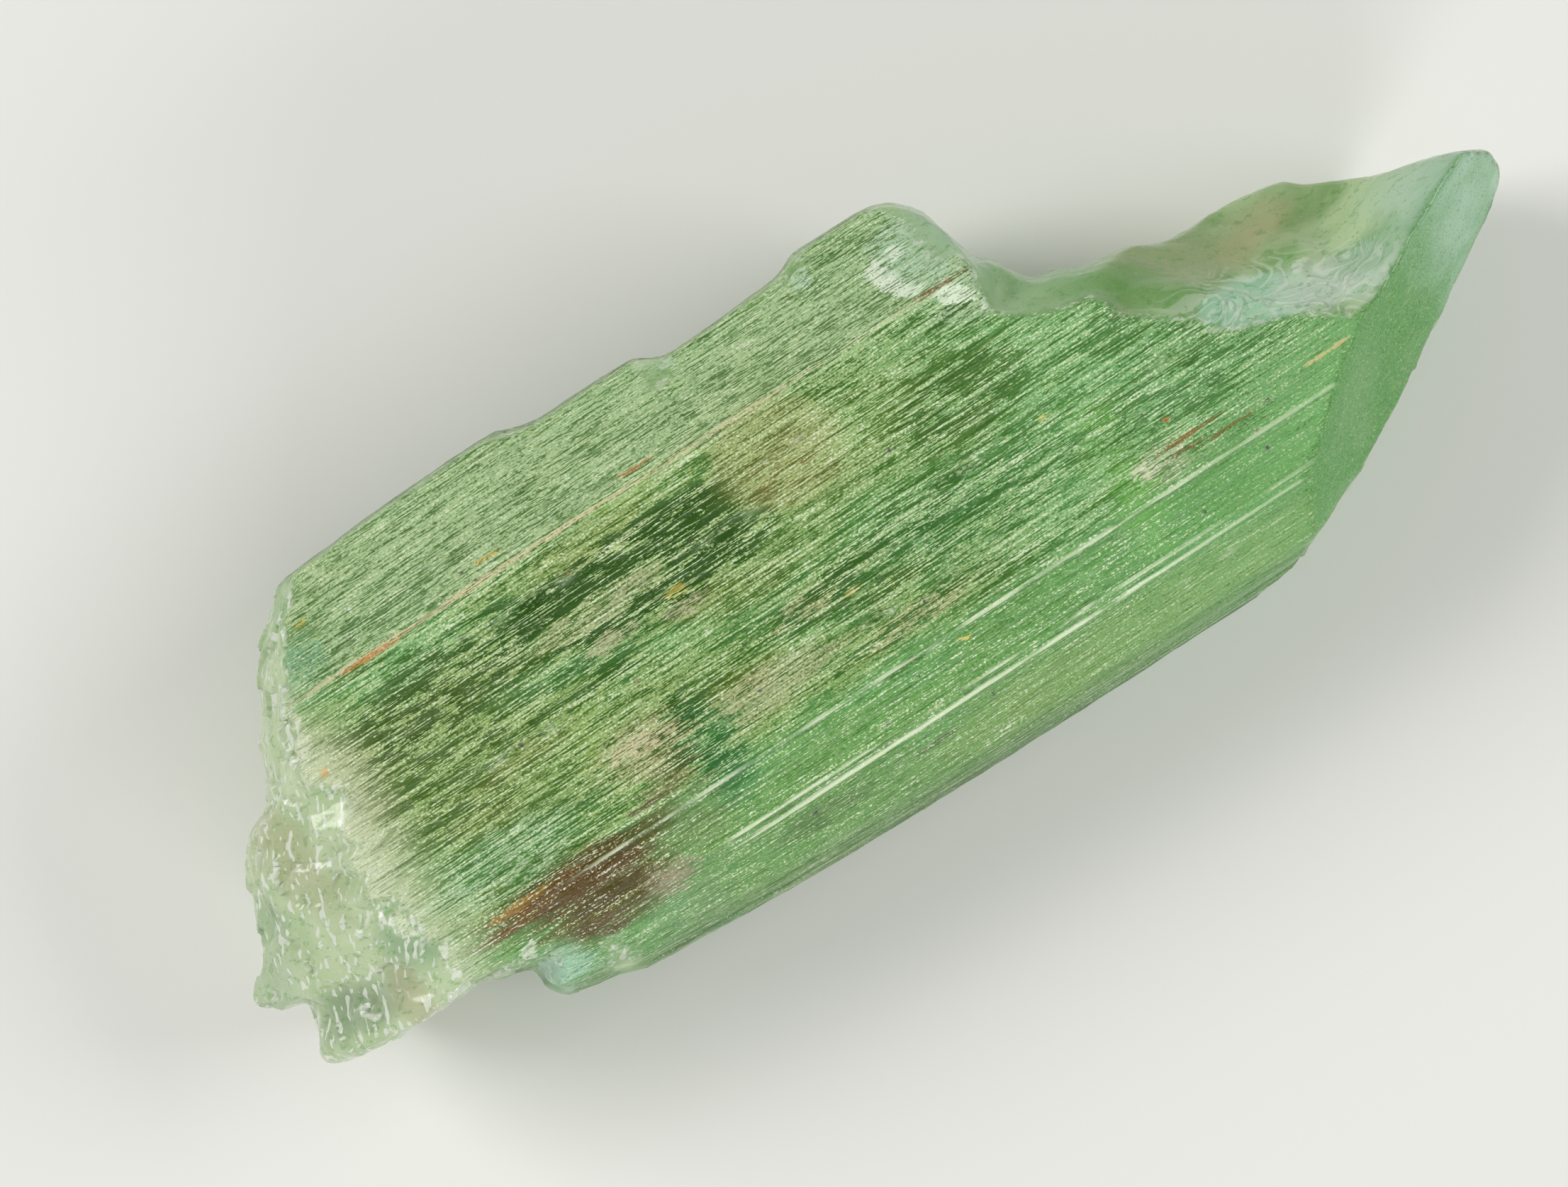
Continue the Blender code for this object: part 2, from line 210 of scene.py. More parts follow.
crystal = {
    "grain": 0.050,  # mesh spacing across the striations, mm
    "stretch": 3.0,  # how many times longer the mesh cells are along the crystal
    "most": 196000,  # triangles
    "windowDepth": 0.040,  # how far glassy windows lie below the etched ground, mm
    "lineDepth": 0.030,
    "breakDepth": 0.070,
    "ridgeHeight": 0.045,
    "breakSoftening": 14,  # rounds of smoothing on broken ground
    "recess": (3.7, -1.75, 5.60),  # the deep break beside the tip: beyond x, above y, below z
    "base": (-9.5, 5.60),  # the break at the base: before x, below z
    "seed": 3,
    "specks": 54,
    "shelly": (8.6, -0.72, 2.0, 0.62, -18, 0.5),  # the rippled patch of the recess
    "chiselRim": (9.1, -1.87, 0.568, -0.823),  # where the texture runs out: a place and the way, from above
}

# noise: swells per mm along, across and up; where it begins; detail, roughness, bend
grains = {
    "drift": ((0.30, 1.1, 1.1), (6.0, 3.3, 2.2), 2.0),  # slow change of how deep the etching goes
    "worn": ((0.9, 3.0, 3.0), (4.0, 4.0, 8.0), 2.0),  # gaps in the ridges and in their painted highlight
    "cloud": ((0.22, 0.55, 0.55), (1.0, 8.0, 3.0), 2.0),  # large patches of green
    "cloudTwo": ((0.30, 1.20, 1.20), (7.0, 2.0, 5.0), 3.0),  # smaller ones
    "sway": ((0.8, 6.0, 6.0), (5.0, 5.0, 5.0), 3.0, 0.65),  # bends the ends of washes
    "soft": ((0.7, 0.9, 0.9), (3.0, 6.0, 1.0), 3.0, 0.5, 0.6),  # mottling of broken ground
    "shell": ((0.9, 1.5, 1.5), (2.0, 2.0, 5.0), 4.0, 0.55, 0.8),  # lumps of broken ground
    "swell": ((0.8, 1.1, 1.1), (9.0, 2.0, 4.0), 1.0, 0.4, 0.6),  # ripples follow it
    "lines": ((0.10, 6.5, 6.5), (3.0, 4.1, 7.7), 3.0, 0.6),  # straight striations
    "streak": ((4.2, 33.0, 33.0), (8.0, 1.0, 3.0), 2.0, 0.7),  # short etched dashes
    "hair": ((1.0, 38.0, 38.0), (0.0, 0.0, 0.0), 0.0),  # the finest lines
    "sugar": ((20.0, 30.0, 30.0), (1.0, 5.0, 9.0), 1.0, 0.7),  # grains
    "straight": ((0.10, 12.0, 12.0), (3.0, 4.0, 7.0), 0.0),  # lines of the lower faces
    "chip": ((5.0, 8.0, 8.0), (4.0, 2.0, 6.0), 2.0, 0.65),  # crumbled edges
    "dash": ((3.8, 11.0, 7.5), (7.0, 3.0, 4.0), 0.0),  # painted glints of the base: short slanting white dashes
}

# where one kind of ground gives way to another, from and to, mm
zones = {
    "steppedSide": (-1.9, -2.5),  # y, also the next two
    "upperBand": (2.45, 2.8),
    "upperVeil": (2.3, 2.8),
    "topLight": (2.2, 4.2),  # z, marks and washes fade out below it
    "lowerFaces": (4.7, 3.3),  # z, clearer and straighter lined
    "paleBase": (-8.4, -10.0),  # x
    "greenerSide": (-1.0, 5.0),  # x
    "chiselRise": (6.0, 9.5),  # x, the prism takes on the chisel's colours
}

# places where the etched ground thins out and glassy windows crowd (+) or close up (-):
# x, y, half length, half width, turn, softness, strength
windows = [
    (-6.5, 1.52, 2.4, 0.62, 0, 0.45, 0.65), (-2.7, 1.35, 2.5, 0.72, -2, 0.35, 1.1),
    (3.0, 0.90, 1.2, 0.60, 0, 0.45, 0.9), (-4.15, 1.22, 1.25, 0.24, 0, 0.40, -1.5),
    (-8.2, 0.3, 1.3, 1.1, 0, 0.60, 0.45), (-4.0, 0.35, 2.6, 0.45, 0, 0.60, 0.50),
    (-1.6, 0.10, 1.8, 0.45, 0, 0.50, -0.4), (0.9, -0.60, 2.9, 0.75, 0, 0.60, 0.50),
    (5.9, -1.10, 1.6, 0.40, 0, 0.50, 0.5), (2.5, 3.95, 0.95, 0.30, 0, 0.50, 0.4),
    (-7.2, 3.15, 1.7, 0.22, 0, 0.60, 0.4), (-0.2, 1.75, 1.15, 1.0, 0, 0.25, -0.7),
    (-2.3, -1.50, 1.3, 0.40, 0, 0.50, -0.7), (5.6, 0.45, 0.7, 0.35, 0, 0.50, 0.5),
    (-3.9, -1.75, 0.6, 1.0, 0, 0.30, 0.7), (-2.9, -3.85, 0.9, 0.20, 0, 0.50, 0.6),
]

# long ridges on the stepped side, painted bright as highlights: y, from x, to x, strength
ridges = [
    (-1.43, -2.0, 9.4, 0.30), (-2.20, -6.0, 8.6, 0.35), (-2.40, -7.0, 8.45, 1.0), (-2.62, -3.6, 5.4, 0.25),
    (-2.80, -5.0, 8.2, 0.30), (-3.10, -5.2, 7.6, 0.35), (-3.31, -5.6, 7.6, 0.95), (-3.47, -4.6, 7.1, 1.0),
    (-3.70, -3.0, 4.4, 0.25), (-4.18, -6.5, 6.6, 0.45),
]

glow = {
    "deepGreen": tint(54, 96, 14),
    "midGreen": tint(66, 118, 34),
    "freshGreen": tint(84, 152, 76),
    "olive": tint(96, 118, 26),
    "windowGreen": tint(38, 86, 0),
    "windowGreenRight": tint(24, 98, 6),
    "bandGreen": tint(80, 150, 62),
    "upperGreen": tint(118, 156, 92),
    "veil": tint(146, 176, 102),
    "veilTan": tint(158, 174, 104),
    "veilCool": tint(132, 190, 130),
    "veilUpper": tint(186, 214, 164),
    "veilBand": tint(110, 166, 98),
    "darkLine": tint(56, 92, 22),
    "lightLine": tint(192, 214, 156),
    "brokenGreen": tint(144, 186, 122),
    "brokenPale": tint(194, 220, 170),
    "basePale": tint(224, 238, 200),
    "tipGreen": tint(88, 162, 72),
    "tipPale": tint(138, 186, 128),
    "tipFrost": tint(184, 222, 198),
    "wallBody": tint(172, 192, 142),
    "wallVeil": tint(228, 234, 204),
}

# washes of colour in the body: patch, how ragged its ends are, strength, colour
bodyWashes = [
    ((-7.9, 0.2, 1.5, 1.6, 0, 0.7), 1.0, 0.35, tint(116, 128, 62)),
    ((2.2, 0.9, 2.6, 0.9, 0, 0.7), 1.0, 0.40, tint(104, 146, 60)),
    ((-0.20, 1.75, 1.15, 0.95, -12, 0.14), 0.15, 0.80, tint(126, 132, 70)),
    ((-0.05, 1.45, 0.70, 0.45, -10, 0.60), 0.6, 0.60, tint(148, 122, 58)),
    ((5.2, -1.1, 3.0, 1.0, 0, 0.6), 1.0, 0.40, tint(88, 150, 80)),
    ((-3.75, -1.95, 0.42, 0.95, 0, 0.40), 0.8, 0.70, tint(26, 116, 52)),
    ((-4.70, -2.05, 0.55, 1.20, 0, 0.50), 1.0, 0.60, tint(98, 92, 56)),
    ((-7.05, -2.44, 1.75, 0.32, 0, 0.45), 1.3, 0.95, tint(58, 38, 0)),
    ((-7.75, -2.44, 0.80, 0.20, 0, 0.50), 1.3, 0.70, tint(130, 78, 20)),
    ((-6.65, -3.06, 1.15, 0.50, 0, 0.45), 1.2, 0.88, tint(70, 48, 0)),
    ((-6.40, -2.95, 0.45, 0.22, 0, 0.50), 1.0, 0.60, tint(76, 58, 24)),
    ((-5.55, -0.50, 0.20, 0.50, 0, 0.50), 0.8, 0.55, tint(160, 196, 80)),
    ((4.50, -1.75, 0.30, 1.25, 0, 0.60), 0.8, 0.50, tint(122, 196, 72)),
    ((-2.70, 2.55, 0.60, 0.14, 0, 0.60), 1.0, 0.50, tint(176, 210, 104)),
    ((-6.9, -1.5, 2.6, 0.22, 0, 0.60), 1.2, 0.35, tint(70, 132, 54)),
    ((6.5, 2.1, 0.5, 0.3, -40, 0.6), 0.6, 0.60, tint(56, 150, 74)),
    ((-5.6, -3.95, 0.7, 0.4, 0, 0.5), 0.8, 0.45, tint(132, 160, 132)),
    ((-8.15, -3.72, 0.50, 0.42, 0, 0.5), 0.6, 0.80, tint(150, 206, 176)),
    ((3.6, -4.1, 3.6, 0.45, 0, 0.6), 1.0, 0.60, tint(142, 168, 84)),
]
# the same on the etched ground
veilWashes = [
    ((0.40, -0.30, 2.60, 0.95, 0, 0.70), 1.0, 0.32, tint(104, 154, 92)),
    ((-4.15, 1.22, 1.30, 0.30, 0, 0.50), 1.0, 0.70, tint(184, 182, 144)),
    ((-0.20, 1.75, 1.15, 0.95, -12, 0.14), 0.15, 0.75, tint(170, 180, 118)),
    ((-2.50, -1.50, 1.20, 0.34, 0, 0.45), 1.0, 0.75, tint(188, 184, 144)),
    ((0.30, -1.85, 1.00, 0.18, 0, 0.45), 1.0, 0.70, tint(190, 180, 138)),
    ((-1.10, -0.70, 0.60, 0.20, 0, 0.45), 1.0, 0.60, tint(192, 176, 136)),
    ((-4.80, -1.25, 0.75, 0.45, 0, 0.50), 1.0, 0.65, tint(196, 182, 142)),
    ((-9.40, 0.90, 0.60, 0.95, 0, 0.60), 0.8, 0.60, tint(200, 186, 152)),
    ((-7.05, -2.44, 1.75, 0.38, 0, 0.45), 1.3, 0.97, tint(96, 66, 0)),
    ((-6.65, -3.06, 1.15, 0.52, 0, 0.45), 1.2, 0.95, tint(104, 80, 14)),
    ((-7.90, -1.55, 1.30, 0.50, 0, 0.50), 1.0, 0.55, tint(164, 202, 172)),
    ((-8.15, -3.72, 0.50, 0.42, 0, 0.5), 0.6, 0.80, tint(186, 226, 202)),
    ((-3.75, -2.05, 0.36, 0.80, 0, 0.40), 0.8, 0.60, tint(70, 152, 86)),
    ((-4.75, -1.85, 0.50, 0.24, 0, 0.50), 1.2, 0.60, tint(128, 112, 78)),
    ((3.70, 3.40, 0.75, 0.62, 0, 0.35), 0.5, 0.80, tint(194, 216, 186)),
    ((4.10, 2.30, 0.62, 0.42, 0, 0.45), 0.6, 0.70, tint(198, 216, 188)),
    ((5.20, -1.95, 0.40, 0.30, 0, 0.50), 0.6, 0.70, tint(204, 206, 176)),
]
# the same on broken ground
breakWashes = [
    ((7.60, 0.85, 2.50, 0.62, -10, 0.50), 0.3, 0.75, tint(136, 154, 96)),
    ((9.05, 0.62, 0.42, 0.24, 0, 0.80), 0.2, 0.75, tint(190, 182, 138)),
    ((8.36, 0.44, 0.34, 0.20, 0, 0.80), 0.2, 0.60, tint(178, 180, 126)),
    ((6.10, 1.10, 1.60, 0.30, -42, 0.60), 0.4, 0.60, tint(108, 168, 92)),
    ((4.35, 3.30, 0.50, 0.90, 15, 0.50), 0.4, 0.80, tint(184, 214, 180)),
    ((5.10, 1.90, 0.90, 0.80, -40, 0.60), 0.4, 0.60, tint(152, 194, 140)),
    ((8.00, -0.52, 1.00, 0.44, -16, 0.20), 0.2, 0.85, tint(176, 226, 194)),
    ((9.60, -0.98, 1.20, 0.40, -14, 0.50), 0.6, 0.90, tint(206, 228, 208)),
    ((10.7, -0.95, 1.00, 0.28, -12, 0.60), 0.5, 0.55, tint(124, 180, 138)),
    ((12.0, -0.70, 1.10, 0.60, -20, 0.70), 0.4, 0.75, tint(182, 216, 196)),
    ((-12.6, -1.20, 0.55, 0.45, 0, 0.50), 0.5, 0.60, tint(176, 196, 174)),
    ((-12.1, 0.10, 0.40, 0.70, 20, 0.50), 0.5, 0.60, tint(128, 164, 128)),
    ((-11.4, -2.30, 0.85, 0.40, 0, 0.60), 0.6, 0.60, tint(134, 158, 130)),
    ((-10.4, -2.70, 0.25, 0.60, 10, 0.60), 0.4, 0.60, tint(196, 192, 156)),
    ((-11.0, 0.60, 0.40, 1.10, 15, 0.60), 0.6, 0.55, tint(196, 196, 156)),
    ((-9.70, -1.75, 0.60, 0.50, 0, 0.50), 0.6, 0.55, tint(136, 176, 144)),
    ((-8.10, -3.80, 0.60, 0.50, 0, 0.50), 0.5, 0.90, tint(192, 234, 210)),
]
# small marks on the prism faces: x, y, half length, half width, turn; strength; colour
marks = [
    ((3.70, 3.40, 0.90, 0.74, 0), 0.75, tint(176, 210, 174)),
    ((2.93, 3.27, 0.20, 0.46, 8), 1.5, tint(236, 248, 226)),
    ((3.32, 3.52, 0.21, 0.18, 0), 1.4, tint(230, 246, 222)),
    ((3.10, 2.92, 0.36, 0.15, -30), 1.4, tint(230, 246, 222)),
    ((3.80, 2.36, 0.40, 0.19, -40), 1.4, tint(230, 246, 220)),
    ((4.28, 2.02, 0.30, 0.15, 35), 1.4, tint(226, 242, 214)),
    ((-1.05, 4.15, 0.30, 0.22, -30), 0.7, tint(178, 212, 178)),
    ((1.75, 4.05, 0.20, 0.26, 20), 0.7, tint(178, 212, 178)),
    ((-8.9, 3.25, 0.60, 0.48, -50), 0.6, tint(120, 172, 128)),
    ((-9.75, 2.20, 0.36, 0.85, -20), 0.7, tint(206, 214, 186)),
    ((-4.85, -1.12, 0.80, 0.20, 0), 0.40, tint(200, 192, 150)),
    ((4.85, -1.92, 0.28, 0.20, 0), 0.6, tint(212, 214, 182)),
    ((-2.90, 0.42, 0.50, 0.17, 0), 0.6, tint(186, 188, 146)),
    ((-4.30, 0.62, 0.60, 0.19, 0), 0.6, tint(180, 184, 140)),
    ((7.05, -0.35, 0.70, 0.19, -38), 0.5, tint(176, 206, 156)),
    ((-8.35, -3.10, 0.17, 0.34, -20), 0.9, tint(216, 228, 204)),
    ((-8.05, -2.30, 0.75, 0.09, 0), 1.0, tint(158, 118, 40)),
    ((-7.05, -2.40, 1.00, 0.12, 0), 1.3, tint(92, 58, 0)),
    ((-6.85, -2.62, 1.20, 0.12, 0), 1.3, tint(88, 54, 0)),
    ((-6.05, -2.50, 0.55, 0.08, 0), 0.9, tint(78, 66, 12)),
    ((-6.65, -2.98, 0.80, 0.19, 0), 1.1, tint(76, 54, 0)),
    ((-7.15, -3.30, 0.45, 0.13, 0), 0.9, tint(90, 64, 10)),
    ((-6.85, -3.55, 0.34, 0.07, 0), 0.9, tint(86, 62, 14)),
    ((-5.60, -3.30, 0.62, 0.34, 0), 0.7, tint(152, 146, 116)),
    ((-2.90, 0.75, 0.36, 0.070, 0), 1.0, tint(224, 198, 66)),
    ((-2.86, 0.62, 0.14, 0.050, 0), 0.8, tint(206, 196, 66)),
    ((-7.80, 2.62, 0.84, 0.055, 0), 1.0, tint(206, 126, 48)),
    ((3.45, 2.62, 0.86, 0.055, 0), 1.0, tint(118, 74, 36)),
    ((-2.35, 2.86, 0.42, 0.050, 0), 0.9, tint(190, 132, 74)),
    ((5.80, -1.78, 0.76, 0.060, 0), 0.8, tint(140, 102, 50)),
    ((5.70, -1.96, 0.50, 0.045, 0), 0.7, tint(132, 104, 56)),
    ((6.35, -2.05, 0.70, 0.050, 0), 0.7, tint(120, 110, 44)),
    ((8.60, -1.88, 0.66, 0.045, 0), 0.8, tint(204, 190, 132)),
    ((5.62, -1.36, 0.12, 0.070, 0), 0.9, tint(196, 130, 66)),
    ((-9.55, 1.38, 0.15, 0.080, 30), 1.0, tint(218, 168, 90)),
    ((-8.55, 3.74, 0.12, 0.070, 0), 0.9, tint(196, 190, 78)),
    ((-7.66, 3.78, 0.40, 0.045, 78), 0.9, tint(226, 236, 214)),
    # the three long pale lines on the edge at y 2.63 are partly a painted highlight, partly wear
    ((-6.05, 2.66, 4.30, 0.055, 0), 1.6, tint(214, 204, 160)),
    ((-0.85, 2.63, 2.80, 0.050, 0), 1.4, tint(206, 206, 160)),
    ((2.60, 2.62, 1.80, 0.045, 0), 1.2, tint(190, 206, 156)),
    ((-5.20, -2.05, 0.60, 0.045, 0), 0.8, tint(92, 60, 40)),
    ((-0.60, -3.86, 0.60, 0.060, 0), 0.7, tint(74, 96, 50)),
    ((0.80, -2.60, 0.16, 0.060, 0), 0.8, tint(224, 204, 96)),
    ((-0.4, -0.9, 0.20, 0.060, 0), 0.7, tint(222, 210, 130)),
    ((3.9, -0.2, 0.14, 0.060, 0), 0.7, tint(206, 214, 120)),
    ((-5.3, 2.95, 0.34, 0.050, 0), 0.8, tint(222, 196, 110)),
]

finishes = {
    "groundRoughness": 0.44,
    "groundShine": 0.25,
    "windowRoughness": 0.16,
    "brokenRoughness": 0.20,
    "glassTint": (0.84, 0.97, 0.74, 1),
    "glassRoughness": 0.06,
    "lightRefraction": 1.66,
    "absorbed": (0.46, 0.84, 0.16, 1),
    "absorbedDensity": 130.0,
    "windowClear": 0.10,  # share of clear glass; up to twice this where windows crowd
    "sideClear": 0.40,
    "breakClear": 0.25,
    "tipClear": 0.24,
    "paleLines": 0.80,  # strength of the finest lines
    "darkLines": 0.70,
    "hairDepth": 0.016,  # mm, relief of the finest lines
    # colour of the painted highlight on ridges and sharp prism edges
    "ridge": tint(224, 238, 204),
    # colour of painted glints: white sparkles, dashes, ripple lines and chipped rims
    "paintedGlint": tint(242, 248, 234),
    "darkSpeck": tint(40, 44, 14),
    "rustSpeck": tint(134, 84, 36),
}


def smoothField(values, edges, rounds):
    for _ in range(rounds):
        total = np.zeros_like(values)
        count = np.zeros(len(values))
        for a, b in ((0, 1), (1, 0)):
            np.add.at(total, edges[:, a], values[edges[:, b]])
            np.add.at(count, edges[:, a], 1.0)
        count = count if values.ndim == 1 else count[:, None]
        values = 0.5 * values + 0.5 * total / np.maximum(count, 1.0)
    return values


def storeField(mesh, name, values):
    layer = mesh.attributes.new(name, "FLOAT", "POINT")
    layer.data.foreach_set("value", values.astype(np.float32))


def readPoints(mesh, what="co"):
    points = np.empty(len(mesh.vertices) * 3, np.float32)
    mesh.vertices.foreach_get(what, points)
    return points.reshape(-1, 3).astype(float)


def readEdges(mesh):
    edges = np.empty(len(mesh.edges) * 2, np.int32)
    mesh.edges.foreach_get("vertices", edges)
    return edges.reshape(-1, 2)


# the solid's copy, merged, then remeshed with cells that are long along the crystal
def fineCopy(node):
    source = node.data.copy()
    bm = bmesh.new()
    bm.from_mesh(source)
    bmesh.ops.remove_doubles(bm, verts=bm.verts, dist=1e-7)
    bm.normal_update()
    tree = BVHTree.FromBMesh(bm)
    normals = [f.normal.copy() for f in bm.faces]
    bm.to_mesh(source)
    bm.free()
    source.transform(Matrix.Diagonal((1 / crystal["stretch"], 1, 1, 1)))
    holder = bpy.data.objects.new("fineCopy", source)
    bpy.context.scene.collection.objects.link(holder)
    remesh = holder.modifiers.new("fine", "REMESH")
    remesh.mode = "VOXEL"
    remesh.voxel_size = crystal["grain"] * mm
    mesh = bpy.data.meshes.new_from_object(holder.evaluated_get(bpy.context.evaluated_depsgraph_get()))
    bpy.data.objects.remove(holder)
    mesh.transform(Matrix.Diagonal((crystal["stretch"], 1, 1, 1)))
    return mesh, tree, normals


# the two chisel faces are the largest flat faces that lean away from the crystal's length
def chiselFaces(normals, tree):
    low, high = (Vector(corner) for corner in cadBox)
    found = []
    for height in (0.80, 0.25):
        start = Vector((high.x, low.y, low.z + (high.z - low.z) * height))
        aim = Vector((high.x - 4.5 * mm, (low.y + high.y) / 2, start.z)) - start
        hit = tree.ray_cast(start, aim.normalized())
        found.append(normals[hit[2]])
    return found


# how sharply the surface stands out; sharp edges get a painted highlight from it, partly pale wear
def markCrests(mesh):
    edges = readEdges(mesh)
    squashed = readPoints(mesh) * [1 / crystal["stretch"], 1, 1]
    bend = ((squashed - smoothField(squashed, edges, 1)) * 2 * readPoints(mesh, "normal")).sum(axis=1)
    bend = np.clip(bend / (crystal["grain"] * mm), 0, None)
    storeField(mesh, "crest", smoothField(bend, edges, 1))


# fresh: broken ground; tipFace: the chisel faces
def markSurfaces(mesh, tree, normals):
    points = readPoints(mesh)
    count = len(points)
    facing = np.zeros((count, 3))
    for i in range(count):
        facing[i] = normals[tree.find_nearest(Vector(points[i]))[2]]
    tip = np.zeros(count)
    for way in chiselFaces(normals, tree):
        tip = np.maximum(tip, (facing @ np.array(way) > 0.9995).astype(float))
    x, y, z = points.T / mm
    upward = facing[:, 2] > -0.6
    recess = (x > crystal["recess"][0]) & (y > crystal["recess"][1]) & (z < crystal["recess"][2])
    base = (x < crystal["base"][0]) & (z < crystal["base"][1]) & (y < 2.5)
    ends = (x < -6.2) | (x > 3.2) | (z > 4.6)
    fresh = (((np.abs(facing[:, 0]) > 0.22) & ends) | (recess & upward) | (base & upward)).astype(float)
    fresh *= 1.0 - tip
    edges = readEdges(mesh)
    fresh = smoothField(fresh, edges, 4)
    tip = smoothField(tip, edges, 3)
    share = np.clip(fresh * 1.6, 0, 1)[:, None]
    for _ in range(crystal["breakSoftening"]):
        points = points + (smoothField(points, edges, 1) - points) * share
    mesh.vertices.foreach_set("co", points.astype(np.float32).ravel())
    mesh.update()
    storeField(mesh, "fresh", fresh)
    storeField(mesh, "tipFace", tip)
    print("surface shares: broken", round(fresh.mean(), 3), "chisel", round(tip.mean(), 3))


def washOver(weave, colour, washes, place, ragged, mask):
    for spot, raggedness, strength, new in washes:
        bent = weave.shifted(place, weave.scaled(ragged, (raggedness, raggedness, raggedness)))
        colour = weave.mix(patch(weave, bent, spot) * mask * strength, colour, new)
    return colour


# 1 on the chisel's side of its rim, fading out over the prism
def quietWay(weave, place):
    x, y, east, north = crystal["chiselRim"]
    beyond = weave.dot(place, (east, north, 0.0)) - (x * east + y * north)
    return beyond.rise(-2.4, -0.2)


# how far inside the nearest mark a place lies (1 in its middle, 0 at its edge), and that mark's colour
def markSpots(mesh):
    chance = np.random.default_rng(crystal["seed"])
    spots = list(marks)
    for number in range(crystal["specks"]):
        x, y = chance.uniform(-9.5, 8.0), chance.uniform(-4.5, 4.2)
        size = chance.uniform(0.035, 0.060)
        colour = finishes["darkSpeck"] if number % 3 else finishes["rustSpeck"]
        spots.append(((x, y, size * 1.6, size, 0), 0.9, colour))
    x, y, z = readPoints(mesh).T / mm
    upward = readPoints(mesh, "normal")[:, 2] > 0.45
    field = np.full(len(x), -1.0)
    colours = np.ones((len(x), 4))
    for spot, strength, colour in spots:
        east, north = ellipseAxes(*spot)
        along = x * east[0] + y * east[1] - east[2]
        across = x * north[0] + y * north[1] - north[2]
        inside = (1.0 - along * along - across * across) * strength
        nearer = (inside > field) & upward & (z > 3.0)
        field[nearer] = inside[nearer]
        near = nearer & (inside > -1.0)
        colours[near] = colour
    storeField(mesh, "marked", field)
    layer = mesh.attributes.new("markColour", "FLOAT_COLOR", "POINT")
    layer.data.foreach_set("color", colours.astype(np.float32).ravel())


def ridgeLines(weave, place, halfWidth):
    x, y, z = weave.split(place)
    worn = weave.noise(place, *grains["worn"]).rise(0.36, 0.58)
    total = None
    for across, start, end, strength in ridges:
        line = (y - across).size().rise(halfWidth, 0.0) * x.rise(start - 1.5, start + 1.5)
        line = line * x.rise(end + 0.15, end - 0.15) * strength
        total = line if total is None else total.most(line)
    return total * z.rise(2.4, 3.0) * (0.5 + 0.5 * worn)


